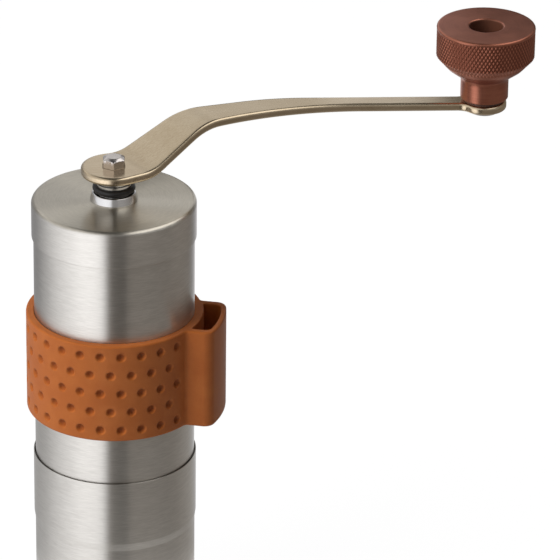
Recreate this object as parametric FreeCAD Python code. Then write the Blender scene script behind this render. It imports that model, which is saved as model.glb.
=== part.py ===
import FreeCAD, Part
import math
import os

# Hand crank coffee grinder, millimetres, +Z up.
# Origin: centre of the cup's underside. +X: straight out through the band's crank pocket.

V = FreeCAD.Vector
ORIGIN = V(0, 0, 0)
UP = V(0, 0, 1)

# Drawn steel shells
sheet = 0.5
slip = 0.05
tube_od = 47.0
body_height = 135.0
cup_seam = 54.0
mouth_depth = 20.0
cup_step = 0.2
swage_run = 2.4
cup_corner = 2.5
lid_skirt = 11.4
lid_rounding = 1.2

# Silicone grip band with its crank pocket
band_bottom = 69.0
band_height = 30.7
band_thickness = 2.35
band_edge = 0.7
slot_set = 0.3
slot_depth = 5.0
slot_length = 17.0
slot_corner = 1.6
pocket_wall = 1.6
pocket_side_wall = 2.3
pocket_corner = 3.2
pocket_root = 1.4

# Moulded burr housing
flange_thickness = 1.2
housing_length = 36.0
housing_wall = 1.6
burr_cup_depth = 19.5
burr_cup_lift = 2.5
burr_cup_wall = 1.7
burr_cup_gap = 1.55
burr_shoulder = 2.5
funnel_start = 1.5
funnel_skin = 2.1
rib_count = 6
rib_thickness = 1.4
spider_arms = 3
spider_arm_width = 3.2
spider_depth = 5.0
spider_hub_radius = 6.5

# Burrs and grind adjuster
outer_burr_height = 14.5
outer_burr_wall = 3.15
outer_burr_teeth = 18
outer_tooth_depth = 0.9
outer_burr_twist = 16.0
burr_land_flare = 0.4
burr_gap = 0.4
lock_ring_height = 4.5
lock_ring_width = 3.0
lock_notches = 3
lock_notch_width = 4.0
lock_notch_depth = 2.2
inner_burr_height = 13.6
inner_burr_sink = 0.5
inner_burr_land = 3.5
inner_burr_land_drop = 0.5
inner_burr_crown_wall = 1.7
inner_burr_bore = 6.0
inner_burr_teeth = 12
inner_tooth_depth = 1.9
inner_burr_twist = 44.0
carrier_flange_width = 4.5
carrier_flange_thickness = 2.2
carrier_rise = 0.7
nut_height = 6.3
nut_radius = 9.0
nut_scallops = 12
nut_scallop_radius = 1.6
spring_wire = 0.8
spring_turns = 4.5
spring_clearance = 1.2
spring_end_gap = 0.05

# Drive shaft and its bearing
shaft_radius = 3.0
shaft_hex = 6.2
stem_step = 0.12
shaft_hex_rise = 3.0
shaft_hex_chamfer = 0.7
drive_hex_step = 0.11
drive_hex_overrun = 1.0
thread_step = 0.1
thread_tail = 6.0
bush_wall = 1.45
bush_flange_radius = 6.2
bush_flange = 1.0
bush_tail = 0.5
washer_thickness = 0.6
washer_radius = 6.0
running_fit = 0.05
sliding_fit = 0.08

# Lid collar and the nut that clamps it
collar_height = 2.5
collar_foot_radius = 6.97
collar_foot_height = 0.3
collar_top_radius = 6.35
collar_wall = 1.55
collar_bore_gap = 0.25
lid_nut_height = 1.6
lid_nut_across = 15.0

# Crank: hub, arm and knob. The arm is drawn with its knob on +X, then turned.
crank_angle = 23.7
crank_throw = 110.4
hex_turn = 18.8
boss_wall = 1.53
boss_height = 5.35
boss_straight = 2.9
boss_flare = 1.0
boss_lift = 0.05
o_ring_section = 2.1
o_ring_height = 1.15
arm_thickness = 2.5
hub_disc_radius = 9.6
end_disc_radius = 6.6
arm_end_width = 5.96
inner_heading_back = 5.15
inner_heading_front = 20.1
outer_heading = -10.35
back_bow_radius = 70.7
front_bow_radius = 91.0
bend_heading = 22.9
bend_start = 3.9
bend_angle = 32.4
lower_bend_radius = 11.3
upper_bend_radius = 18.0
arm_rise = 11.3
hex_hole_fit = 0.08

knob_radius = 14.4
knob_chamfer = 0.6
knob_grip_height = 8.5
knob_cone_radius = 11.2
knob_cone_height = 3.5
knob_neck_radius = 7.0
knob_throat_height = 3.2
knob_throat_fillet = 2.0
knob_neck_height = 6.5
knob_foot_edge = 0.3
knob_hole_radius = 4.93
knob_hole_depth = 9.0
knob_washer_thickness = 0.95
knob_washer_radius = 5.8
knob_bush_wall = 1.0
spindle_radius = 3.0
spindle_head_gap = 0.5
spindle_head_height = 2.0
spindle_head_edge = 0.8
rivet_radius = 4.6
rivet_height = 1.1
rivet_edge = 0.7
axial_play = 0.1

# Radii worked out from the sizes above
tube_radius = tube_od / 2
tube_inner = tube_radius - sheet
cup_radius = tube_radius + cup_step
mouth_inner = tube_radius + slip
mouth_outer = mouth_inner + sheet
band_inner = tube_radius + slip
band_outer = band_inner + band_thickness
slot_inner = band_outer + slot_set
slot_outer = slot_inner + slot_depth
pocket_outer = slot_outer + pocket_wall
housing_radius = tube_inner - slip
housing_wall_inner = housing_radius - housing_wall
burr_cup_outer = housing_wall_inner - burr_cup_gap
burr_cup_inner = burr_cup_outer - burr_cup_wall
outer_burr_radius = burr_cup_inner - slip
outer_burr_throat = outer_burr_radius - outer_burr_wall - outer_tooth_depth
inner_burr_base_radius = outer_burr_throat + burr_land_flare - burr_gap
inner_burr_top_radius = inner_burr_bore + inner_burr_crown_wall + inner_tooth_depth
carrier_radius = inner_burr_bore - slip
carrier_flange_radius = inner_burr_bore + carrier_flange_width
bush_radius = shaft_radius + running_fit + bush_wall
spring_mean_radius = shaft_radius + spring_clearance + spring_wire / 2
drive_hex = (shaft_radius - drive_hex_step) * math.sqrt(3)
thread_radius = drive_hex / 2 - thread_step
stem_radius = shaft_hex / math.sqrt(3) + stem_step
collar_bore = stem_radius + collar_bore_gap
collar_spigot_radius = collar_bore + collar_wall
crank_socket = shaft_hex + 2 * hex_hole_fit
boss_radius = crank_socket / math.sqrt(3) + boss_wall
boss_flare_radius = boss_radius + boss_flare
knob_bore = spindle_radius + running_fit + knob_bush_wall + slip
spindle_head_radius = knob_hole_radius - spindle_head_gap

# Heights worked out from the sizes above
ledge_z = cup_seam - mouth_depth
flange_top = ledge_z + flange_thickness
lid_under = body_height - sheet
lid_inner_rounding = lid_rounding - sheet
rim_drop = lid_inner_rounding - math.sqrt(lid_inner_rounding ** 2 - (lid_inner_rounding - slip) ** 2)
tube_top = lid_under - rim_drop - slip
housing_top = ledge_z + housing_length
spider_bottom = housing_top - spider_depth
burr_cup_bottom = ledge_z + burr_cup_lift
shoulder_z = burr_cup_bottom + burr_cup_depth
funnel_bottom = shoulder_z + funnel_start
outer_burr_bottom = shoulder_z - outer_burr_height
bush_top = housing_top + bush_flange
bush_bottom = spider_bottom - bush_tail
shaft_shoulder = bush_top + washer_thickness
burr_base_height = outer_burr_bottom + inner_burr_sink
carrier_bottom = burr_base_height - carrier_flange_thickness
inner_burr_top = burr_base_height + inner_burr_height
carrier_top = inner_burr_top + carrier_rise
nut_bottom = carrier_bottom - nut_height
shaft_bottom = nut_bottom - thread_tail
collar_top = body_height + collar_height
boss_bottom = collar_top + boss_lift
arm_under = boss_bottom + boss_height
arm_top = arm_under + arm_thickness
shaft_top = arm_top + shaft_hex_rise
end_under = arm_under + arm_rise
end_top = arm_top + arm_rise
knob_bottom = end_top + knob_washer_thickness + axial_play
knob_cone_bottom = knob_bottom + knob_neck_height + knob_throat_height
knob_grip_bottom = knob_cone_bottom + knob_cone_height
knob_top = knob_grip_bottom + knob_grip_height + knob_chamfer
knob_floor = knob_top - knob_hole_depth
crank_turn = math.radians(crank_angle)
KNOB = V(crank_throw * math.cos(crank_turn), crank_throw * math.sin(crank_turn), 0)


def heading(degrees):
    """Unit vector in the XY plane at an angle from +X."""
    angle = math.radians(degrees)
    return V(math.cos(angle), math.sin(angle), 0)


def rounded_wire(corners, place):
    """Closed outline through (a, b, corner radius) points, laid out in space by place(a, b)."""
    points = [V(a, b, 0) for a, b, _ in corners]
    edges = []
    ends = []
    count = len(corners)
    for i, (_, _, radius) in enumerate(corners):
        here = points[i]
        to_last = (points[i - 1] - here).normalize()
        to_next = (points[(i + 1) % count] - here).normalize()
        half = to_last.getAngle(to_next) / 2
        reach = radius / math.tan(half)
        middle = (to_last + to_next).normalize() if radius else V(0, 0, 0)
        crown = here + middle * (radius / math.sin(half) - radius)
        ends.append((here + to_last * reach, crown, here + to_next * reach))
    for i, (start, crown, stop) in enumerate(ends):
        begin = ends[i - 1][2]
        if begin.distanceToPoint(start) > 1e-6:
            edges.append(Part.LineSegment(place(begin.x, begin.y), place(start.x, start.y)).toShape())
        if corners[i][2]:
            trio = [place(p.x, p.y) for p in (start, crown, stop)]
            edges.append(Part.Arc(*trio).toShape())
    return Part.Wire(edges)


def turned(corners):
    """Solid of revolution about Z from (radius, height, corner radius) points."""
    wire = rounded_wire(corners, lambda r, z: V(r, 0, z))
    return Part.Face(wire).revolve(ORIGIN, UP, 360)


def sleeve(inner, outer, low, high):
    """Plain round sleeve about Z."""
    return turned([(inner, low, 0), (outer, low, 0), (outer, high, 0), (inner, high, 0)])


def prism(corners, low, high):
    """Plan outline pushed up from one height to another."""
    wire = rounded_wire(corners, lambda x, y: V(x, y, low))
    return Part.Face(wire).extrude(UP * (high - low))


def hexagon(across, low, high):
    """Six-sided bar with a corner on +X, given across its flats."""
    corner = across / math.sqrt(3)
    points = [heading(60 * i) * corner for i in range(6)]
    return prism([(p.x, p.y, 0) for p in points], low, high)


def around(shape, count, phase=0.0):
    """Copies of a shape spaced evenly about Z."""
    copies = []
    for i in range(count):
        copy = shape.copy()
        copy.rotate(ORIGIN, UP, phase + 360.0 * i / count)
        copies.append(copy)
    return copies


def toothed_loft(teeth, sections):
    """Twisted star bar through (height, even radius, odd radius, twist) sections."""
    wires = []
    for height, even, odd, twist in sections:
        points = []
        for i in range(2 * teeth):
            radius = odd if i % 2 else even
            points.append(heading(180.0 * i / teeth + twist) * radius + UP * height)
        wires.append(Part.makePolygon(points + points[:1]))
    return Part.makeLoft(wires, True, True)


def make_cup():
    """Receiving cup: drawn shell whose widened mouth takes the tube down to a ledge."""
    inner = cup_radius - sheet
    return turned([
        (0, 0, 0),
        (cup_radius, 0, cup_corner),
        (cup_radius, ledge_z - swage_run, 0),
        (mouth_outer, ledge_z, 0),
        (mouth_outer, cup_seam, 0),
        (mouth_inner, cup_seam, 0),
        (mouth_inner, ledge_z, 0),
        (inner, ledge_z, 0),
        (inner, sheet, cup_corner - sheet),
        (0, sheet, 0),
    ])


def make_body_tube():
    """Straight steel tube from the housing's flange up to the lid's rounded inner corner."""
    return sleeve(tube_inner, tube_radius, flange_top, tube_top)


def make_lid():
    """Drawn cap whose inner corner rests on the tube's rim, pierced for the collar."""
    inner = tube_radius + slip
    outer = inner + sheet
    hole = collar_spigot_radius + slip
    bottom = body_height - lid_skirt
    return turned([
        (hole, lid_under, 0),
        (inner, lid_under, lid_inner_rounding),
        (inner, bottom, 0),
        (outer, bottom, 0),
        (outer, body_height, lid_rounding),
        (hole, body_height, 0),
    ])


def make_lid_collar():
    """Flared collar on the lid with a spigot through the lid's hole."""
    bore = collar_bore
    spigot_end = lid_under - lid_nut_height
    return turned([
        (bore, spigot_end, 0),
        (collar_spigot_radius, spigot_end, 0),
        (collar_spigot_radius, body_height, 0),
        (collar_foot_radius, body_height, 0),
        (collar_foot_radius, body_height + collar_foot_height, 0),
        (collar_top_radius, collar_top, 0),
        (bore, collar_top, 0),
    ])


def make_lid_nut():
    """Thin hexagon nut under the lid on the collar's spigot."""
    low = lid_under - lid_nut_height
    return hexagon(lid_nut_across, low, lid_under).cut(
        Part.makeCylinder(collar_spigot_radius + slip, lid_nut_height, UP * low))


def arched_block(side, radius, corner):
    """Block as high as the band, from the axis out to a face arched about Z with rounded corners."""
    reach = radius - corner
    centre = V(math.sqrt(reach ** 2 - (side - corner) ** 2), side - corner, 0)
    outward = V(centre).normalize()
    leave = V(centre.x, side, 0)
    crown = centre + (outward + V(0, 1, 0)).normalize() * corner
    arrive = outward * radius

    def mirrored(point):
        return V(point.x, -point.y, 0)

    outline = [
        Part.LineSegment(V(0, -side, 0), mirrored(leave)),
        Part.Arc(mirrored(leave), mirrored(crown), mirrored(arrive)),
        Part.Arc(mirrored(arrive), V(radius, 0, 0), arrive),
        Part.Arc(arrive, crown, leave),
        Part.LineSegment(leave, V(0, side, 0)),
        Part.LineSegment(V(0, side, 0), V(0, -side, 0)),
    ]
    face = Part.Face(Part.Wire([piece.toShape() for piece in outline]))
    face.translate(UP * band_bottom)
    return face.extrude(UP * band_height)


def make_grip_band():
    """Silicone sleeve with a through pocket for the crank standing out on +X."""
    half = slot_length / 2
    side = half + pocket_side_wall
    round_body = Part.makeCylinder(band_outer, band_height, UP * band_bottom)
    body = round_body.fuse(arched_block(side, pocket_outer, pocket_corner)).removeSplitter()
    roots = [edge for edge in body.Edges
             if edge.BoundBox.ZLength > band_height / 2
             and abs(math.hypot(edge.CenterOfMass.x, edge.CenterOfMass.y) - band_outer) < slip]
    body = body.makeFillet(pocket_root, roots)
    rims = [edge for edge in body.Edges if edge.BoundBox.ZLength < slip]
    body = body.makeFillet(band_edge, rims)
    bore = Part.makeCylinder(band_inner, band_height, UP * band_bottom)
    slot_core = Part.makeCylinder(slot_inner, band_height, UP * band_bottom)
    slot = arched_block(half, slot_outer, slot_corner).cut(slot_core)
    return body.cut([bore, slot])


def make_burr_housing():
    """Moulded insert: flange, wall, burr cup on ribs, bean funnel and a three-arm spider hub."""
    throat = burr_cup_inner - burr_shoulder
    lip = housing_radius - housing_wall / 2
    slope = (housing_top - funnel_bottom) / (lip - throat)
    skin_z = [funnel_bottom + (r - throat) * slope - funnel_skin * math.hypot(1, slope)
              for r in (burr_cup_outer, housing_wall_inner)]
    shell = turned([
        (housing_wall_inner, ledge_z, 0),
        (tube_radius, ledge_z, 0),
        (tube_radius, flange_top, 0),
        (housing_radius, flange_top, 0),
        (housing_radius, housing_top, 0),
        (lip, housing_top, 0),
        (throat, funnel_bottom, 0),
        (throat, shoulder_z, 0),
        (burr_cup_inner, shoulder_z, 0),
        (burr_cup_inner, burr_cup_bottom, 0),
        (burr_cup_outer, burr_cup_bottom, 0),
        (burr_cup_outer, skin_z[0], 0),
        (housing_wall_inner, skin_z[1], 0),
    ])
    rib_inner = burr_cup_outer - burr_cup_wall / 2
    rib_outer = housing_wall_inner + housing_wall / 2
    rib = Part.makeBox(rib_outer - rib_inner, rib_thickness, skin_z[0] - burr_cup_bottom,
                       V(rib_inner, -rib_thickness / 2, burr_cup_bottom))
    arm = Part.makeBox(lip, spider_arm_width, spider_depth, V(0, -spider_arm_width / 2, spider_bottom))
    hub = Part.makeCylinder(spider_hub_radius, spider_depth, UP * spider_bottom)
    body = shell.fuse(around(rib, rib_count) + around(arm, spider_arms, 60.0) + [hub])
    bore = Part.makeCylinder(bush_radius + slip, spider_depth, UP * spider_bottom)
    return body.cut(bore).removeSplitter()


def make_shaft_bush():
    """Flanged bearing bush in the spider's hub."""
    bore = shaft_radius + running_fit
    return turned([
        (bore, bush_bottom, 0),
        (bush_radius, bush_bottom, 0),
        (bush_radius, housing_top, 0),
        (bush_flange_radius, housing_top, 0),
        (bush_flange_radius, bush_top, 0),
        (bore, bush_top, 0),
    ])


def make_outer_burr():
    """Ceramic ring with twisted teeth round a throat that narrows downwards."""
    ring = Part.makeCylinder(outer_burr_radius, outer_burr_height, UP * outer_burr_bottom)
    throat = outer_burr_throat
    root = throat + outer_tooth_depth
    middle = outer_burr_bottom + outer_burr_height / 3
    bottom_land = throat + burr_land_flare
    bore = toothed_loft(outer_burr_teeth, [
        (outer_burr_bottom, bottom_land, bottom_land + outer_tooth_depth / 2, 0),
        (middle, throat, root, outer_burr_twist / 2),
        (shoulder_z, throat + outer_tooth_depth, root + outer_tooth_depth, outer_burr_twist),
    ])
    return ring.cut(bore)


def make_burr_lock_ring():
    """Threaded ring under the outer burr, notched for a key."""
    low = outer_burr_bottom - lock_ring_height
    inner = outer_burr_radius - lock_ring_width
    ring = sleeve(inner, outer_burr_radius, low, outer_burr_bottom)
    notch = Part.makeBox(inner + lock_ring_width / 2, lock_notch_width, lock_notch_depth,
                         V(0, -lock_notch_width / 2, low))
    return ring.cut(around(notch, lock_notches))


def make_inner_burr():
    """Ceramic cone with twisted cutting teeth, widest at its bottom land."""
    land_top = burr_base_height + inner_burr_land
    land_radius = inner_burr_base_radius - inner_burr_land_drop
    shallow = inner_tooth_depth / 2
    cone = toothed_loft(inner_burr_teeth, [
        (burr_base_height, inner_burr_base_radius, inner_burr_base_radius - shallow, 0),
        (land_top, land_radius, land_radius - shallow, inner_burr_twist / 4),
        (inner_burr_top, inner_burr_top_radius, inner_burr_top_radius - inner_tooth_depth, inner_burr_twist),
    ])
    return cone.cut(Part.makeCylinder(inner_burr_bore, inner_burr_height, UP * burr_base_height))


def make_burr_carrier():
    """Sleeve and flange that carry the inner burr and slide on the shaft's lower hexagon."""
    body = turned([
        (0, carrier_bottom, 0),
        (carrier_flange_radius, carrier_bottom, 0),
        (carrier_flange_radius, burr_base_height, 0),
        (carrier_radius, burr_base_height, 0),
        (carrier_radius, carrier_top, 0),
        (0, carrier_top, 0),
    ])
    return body.cut(hexagon(drive_hex + 2 * sliding_fit, carrier_bottom, carrier_top))


def make_adjuster_nut():
    """Scalloped grind adjuster on the shaft's threaded tail."""
    nut = Part.makeCylinder(nut_radius, nut_height, UP * nut_bottom)
    scallop_at = V(nut_radius + nut_scallop_radius / 2, 0, nut_bottom)
    scallop = Part.makeCylinder(nut_scallop_radius, nut_height, scallop_at)
    bore = Part.makeCylinder(thread_radius + running_fit, nut_height, UP * nut_bottom)
    return nut.cut(around(scallop, nut_scallops) + [bore])


def make_burr_spring():
    """Compression spring from the carrier up to the bush, as half-turn arcs along a helix."""
    low = carrier_top + spring_wire / 2 + spring_end_gap
    high = bush_bottom - spring_wire / 2 - spring_end_gap
    halves = round(spring_turns * 2)
    step = (high - low) / halves

    def point(half_turns):
        return heading(180.0 * half_turns) * spring_mean_radius + UP * (low + step * half_turns)

    arcs = [Part.Arc(point(i), point(i + 0.5), point(i + 1)).toShape() for i in range(halves)]
    path = Part.Wire(arcs)
    start = path.Edges[0]
    tangent = start.tangentAt(start.FirstParameter)
    section = Part.Wire(Part.makeCircle(spring_wire / 2, point(0), tangent))
    samples = [arc.valueAt(arc.FirstParameter + (arc.LastParameter - arc.FirstParameter) * j / 12)
               for arc in arcs for j in range(12)]
    gaps = [a.distanceToPoint(b) for i, a in enumerate(samples) for b in samples[i + 12:]]
    print("burr spring, least gap to itself: %.2f mm" % (min(gaps) - spring_wire))
    return path.makePipeShell([section], True, False)


def make_drive_shaft():
    """Stepped shaft: thread, drive hexagon, bearing, long upper stem and the crank's hexagon."""
    drive_low = carrier_bottom + drive_hex_overrun
    drive_high = carrier_top + drive_hex_overrun
    tail = Part.makeCylinder(thread_radius, drive_low - shaft_bottom, UP * shaft_bottom)
    drive = hexagon(drive_hex, drive_low, drive_high)
    journal = Part.makeCylinder(shaft_radius, shaft_shoulder - drive_high, UP * drive_high)
    stem = Part.makeCylinder(stem_radius, boss_bottom - shaft_shoulder, UP * shaft_shoulder)
    end = hexagon(shaft_hex, boss_bottom, shaft_top)
    corner = shaft_hex / math.sqrt(3)
    end = end.common(turned([
        (0, boss_bottom, 0),
        (corner, boss_bottom, 0),
        (corner, shaft_top - shaft_hex_chamfer, 0),
        (corner - 2 * shaft_hex_chamfer, shaft_top, 0),
        (0, shaft_top, 0),
    ]))
    end.rotate(ORIGIN, UP, crank_angle + hex_turn)
    return tail.fuse([drive, journal, stem, end]).removeSplitter()


def make_thrust_washer():
    """Washer between the shaft's shoulder and the bush."""
    return sleeve(shaft_radius + running_fit, washer_radius, bush_top, shaft_shoulder)


def make_hub_boss():
    """Turned boss with a groove for the O-ring, a cone that flares to the arm and a hexagon socket."""
    body = turned([
        (0, boss_bottom, 0),
        (boss_radius, boss_bottom, 0),
        (boss_radius, boss_bottom + boss_straight, 0),
        (boss_flare_radius, arm_under, 0),
        (0, arm_under, 0),
    ])
    socket = hexagon(crank_socket, boss_bottom, arm_under)
    socket.rotate(ORIGIN, UP, crank_angle + hex_turn)
    return body.cut([make_hub_o_ring(), socket])


def make_hub_o_ring():
    """Rubber O-ring in the boss's groove."""
    return Part.makeTorus(boss_radius, o_ring_section / 2, UP * (boss_bottom + o_ring_height))


def edge_corner(side, inner_heading):
    """Where an arm edge tangent to the hub disc meets the edge that runs out to the knob."""
    along_in = heading(inner_heading)
    along_out = heading(outer_heading)
    start = V(-along_in.y, along_in.x, 0) * (side * hub_disc_radius)
    finish = V(crank_throw, 0, 0) + V(-along_out.y, along_out.x, 0) * (side * arm_end_width / 2)
    gap = finish - start
    across = along_in.x * along_out.y - along_in.y * along_out.x
    reach = (gap.x * along_out.y - gap.y * along_out.x) / across
    return start, start + along_in * reach, finish


def arm_outline():
    """Plan of the arm: hub disc, a strip that tapers and bows, and the disc under the knob."""
    low = arm_under - arm_thickness
    high = end_top + arm_thickness
    back = edge_corner(1, inner_heading_back)
    front = edge_corner(-1, inner_heading_front)
    strip = prism([
        (back[0].x, back[0].y, 0),
        (front[0].x, front[0].y, 0),
        (front[1].x, front[1].y, front_bow_radius),
        (front[2].x, front[2].y, 0),
        (back[2].x, back[2].y, 0),
        (back[1].x, back[1].y, back_bow_radius),
    ], low, high)
    hub = Part.makeCylinder(hub_disc_radius, high - low, UP * low)
    end = Part.makeCylinder(end_disc_radius, high - low, V(crank_throw, 0, low))
    return strip.fuse([hub, end]).removeSplitter()


def bent_sheet():
    """Wide strip of plate with the arm's upward joggle, bent across the bend heading."""
    tilt = math.radians(bend_angle)
    radii = lower_bend_radius + upper_bend_radius
    ramp = (arm_rise - radii * (1 - math.cos(tilt))) / math.sin(tilt)
    run = radii * math.sin(tilt) + ramp * math.cos(tilt)
    knee = math.tan(tilt / 2)
    first = bend_start + lower_bend_radius * knee
    second = bend_start + run - upper_bend_radius * knee
    # Each face of the plate turns on its own radius about the same bend centres.
    half = arm_thickness / 2
    shift = half * knee
    low = arm_under + half
    high = low + arm_rise
    far = crank_throw + 2 * hub_disc_radius
    wire = rounded_wire([
        (-far, low + half, 0),
        (-far, low - half, 0),
        (first + shift, low - half, lower_bend_radius + half),
        (second + shift, high - half, upper_bend_radius - half),
        (far, high - half, 0),
        (far, high + half, 0),
        (second - shift, high + half, upper_bend_radius + half),
        (first - shift, low + half, lower_bend_radius - half),
    ], lambda u, z: V(u, -far, z))
    plate = Part.Face(wire).extrude(V(0, 2 * far, 0))
    plate.rotate(ORIGIN, UP, bend_heading)
    return plate


def make_crank_arm():
    """Flat steel arm: hub disc, joggled and bowed strip, knob disc, hexagon hole and rivet hole."""
    arm = bent_sheet().common(arm_outline())
    arm.rotate(ORIGIN, UP, crank_angle)
    hole = hexagon(crank_socket, arm_under, end_top)
    hole.rotate(ORIGIN, UP, crank_angle + hex_turn)
    rivet = Part.makeCylinder(spindle_radius + slip, arm_thickness, KNOB + UP * end_under)
    return arm.cut([hole, rivet])


def make_knob_spindle():
    """Riveted spindle: domed rivet head, stem through the arm and knob, retaining head."""
    head_low = knob_floor + axial_play
    spindle = turned([
        (0, end_under - rivet_height, 0),
        (rivet_radius, end_under - rivet_height, rivet_edge),
        (rivet_radius, end_under, 0),
        (spindle_radius, end_under, 0),
        (spindle_radius, head_low, 0),
        (spindle_head_radius, head_low, 0),
        (spindle_head_radius, head_low + spindle_head_height, spindle_head_edge),
        (0, head_low + spindle_head_height, 0),
    ])
    spindle.translate(KNOB)
    return spindle


def make_knob_washer():
    """Thin washer that keeps the knob off the arm."""
    high = end_top + knob_washer_thickness
    washer = sleeve(spindle_radius + running_fit, knob_washer_radius, end_top, high)
    washer.translate(KNOB)
    return washer


def make_knob_bush():
    """Plain bush pressed in the knob."""
    inner = spindle_radius + running_fit
    bush = sleeve(inner, inner + knob_bush_wall, knob_bottom, knob_floor)
    bush.translate(KNOB)
    return bush


def make_knob():
    """Turned knob: neck, throat, cone, grip cylinder and a deep hole in its top."""
    neck_top = knob_bottom + knob_neck_height
    knob = turned([
        (knob_bore, knob_bottom, 0),
        (knob_neck_radius, knob_bottom, knob_foot_edge),
        (knob_neck_radius, neck_top, knob_throat_fillet),
        (knob_cone_radius, knob_cone_bottom, 0),
        (knob_radius, knob_grip_bottom, 0),
        (knob_radius, knob_top, knob_chamfer),
        (knob_hole_radius, knob_top, knob_chamfer),
        (knob_hole_radius, knob_floor, 0),
        (knob_bore, knob_floor, 0),
    ])
    knob.translate(KNOB)
    return knob


os.makedirs("parts", exist_ok=True)
nodes = {
    "cup": make_cup,
    "body_tube": make_body_tube,
    "burr_housing": make_burr_housing,
    "shaft_bush": make_shaft_bush,
    "outer_burr": make_outer_burr,
    "burr_lock_ring": make_burr_lock_ring,
    "drive_shaft": make_drive_shaft,
    "thrust_washer": make_thrust_washer,
    "burr_spring": make_burr_spring,
    "burr_carrier": make_burr_carrier,
    "inner_burr": make_inner_burr,
    "adjuster_nut": make_adjuster_nut,
    "lid": make_lid,
    "lid_collar": make_lid_collar,
    "lid_nut": make_lid_nut,
    "grip_band": make_grip_band,
    "crank_arm": make_crank_arm,
    "hub_boss": make_hub_boss,
    "hub_o_ring": make_hub_o_ring,
    "knob": make_knob,
    "knob_bush": make_knob_bush,
    "knob_spindle": make_knob_spindle,
    "knob_washer": make_knob_washer,
}
for name, make in nodes.items():
    shape = make()
    print("%-16s solids %d valid %s volume %.1f" % (name, len(shape.Solids), shape.isValid(), shape.Volume))
    shape.exportStep("parts/%s.step" % name)
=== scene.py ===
import math

import bmesh
import bpy
from mathutils import Matrix, Vector
from mathutils.geometry import delaunay_2d_cdt


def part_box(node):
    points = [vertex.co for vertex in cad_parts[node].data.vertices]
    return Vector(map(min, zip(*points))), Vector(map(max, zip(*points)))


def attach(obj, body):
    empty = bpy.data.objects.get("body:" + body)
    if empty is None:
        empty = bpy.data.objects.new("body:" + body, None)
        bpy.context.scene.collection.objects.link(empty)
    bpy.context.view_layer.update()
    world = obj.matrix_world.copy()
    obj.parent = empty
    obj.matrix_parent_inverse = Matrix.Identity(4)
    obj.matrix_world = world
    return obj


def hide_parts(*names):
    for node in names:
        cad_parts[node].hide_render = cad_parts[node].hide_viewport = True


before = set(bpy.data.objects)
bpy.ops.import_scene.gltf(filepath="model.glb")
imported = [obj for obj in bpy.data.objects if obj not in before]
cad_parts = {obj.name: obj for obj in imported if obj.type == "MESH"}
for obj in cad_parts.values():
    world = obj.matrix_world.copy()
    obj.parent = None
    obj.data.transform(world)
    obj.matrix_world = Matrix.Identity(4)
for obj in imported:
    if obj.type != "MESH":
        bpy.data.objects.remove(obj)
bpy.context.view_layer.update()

# Looks of a hand crank coffee grinder, in metres, in the frame of its solids.

scene = bpy.context.scene
scene.view_settings.view_transform = "Standard"

MM = 0.001

# Sizes of the solids that their boxes don't give
sheet = 0.5 * MM
slip = 0.05 * MM
cup_step = 0.2 * MM
cup_corner = 2.5 * MM
swage_run = 2.4 * MM
flange_thickness = 1.2 * MM
lid_rounding = 1.2 * MM
collar_spigot = 5.5 * MM
arm_thickness = 2.5 * MM
knob_grip_height = 9.1 * MM
knob_hole_radius = 4.93 * MM
knob_hole_depth = 9.0 * MM
hex_turn = math.radians(18.8)

# Places read from the solids
cup_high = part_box("cup")[1]
tube_low, tube_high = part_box("body_tube")
lid_low, lid_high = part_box("lid")
collar_low, collar_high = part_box("lid_collar")
boss_low, boss_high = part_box("hub_boss")
ring_low, ring_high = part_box("hub_o_ring")
band_low, band_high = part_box("grip_band")
arm_low, arm_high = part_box("crank_arm")
shaft_low, shaft_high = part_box("drive_shaft")
knob_low, knob_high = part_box("knob")
rivet_low, rivet_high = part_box("knob_spindle")
tube_radius = tube_high.x
lid_radius = lid_high.x
knob_axis = (knob_low + knob_high) / 2
knob_radius = knob_high.x - knob_axis.x
crank_angle = math.atan2(knob_axis.y, knob_axis.x)
crank_throw = math.hypot(knob_axis.x, knob_axis.y)


# Node maths

class Value:
    """A socket that arithmetic can be written on."""

    def __init__(self, board, socket):
        self.board = board
        self.socket = socket

    def __add__(self, other):
        return self.board.math("ADD", self, other)

    def __sub__(self, other):
        return self.board.math("SUBTRACT", self, other)

    def __rsub__(self, other):
        return self.board.math("SUBTRACT", other, self)

    def __mul__(self, other):
        return self.board.math("MULTIPLY", self, other)

    def __truediv__(self, other):
        return self.board.math("DIVIDE", self, other)

    def __pow__(self, other):
        return self.board.math("POWER", self, other)


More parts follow.
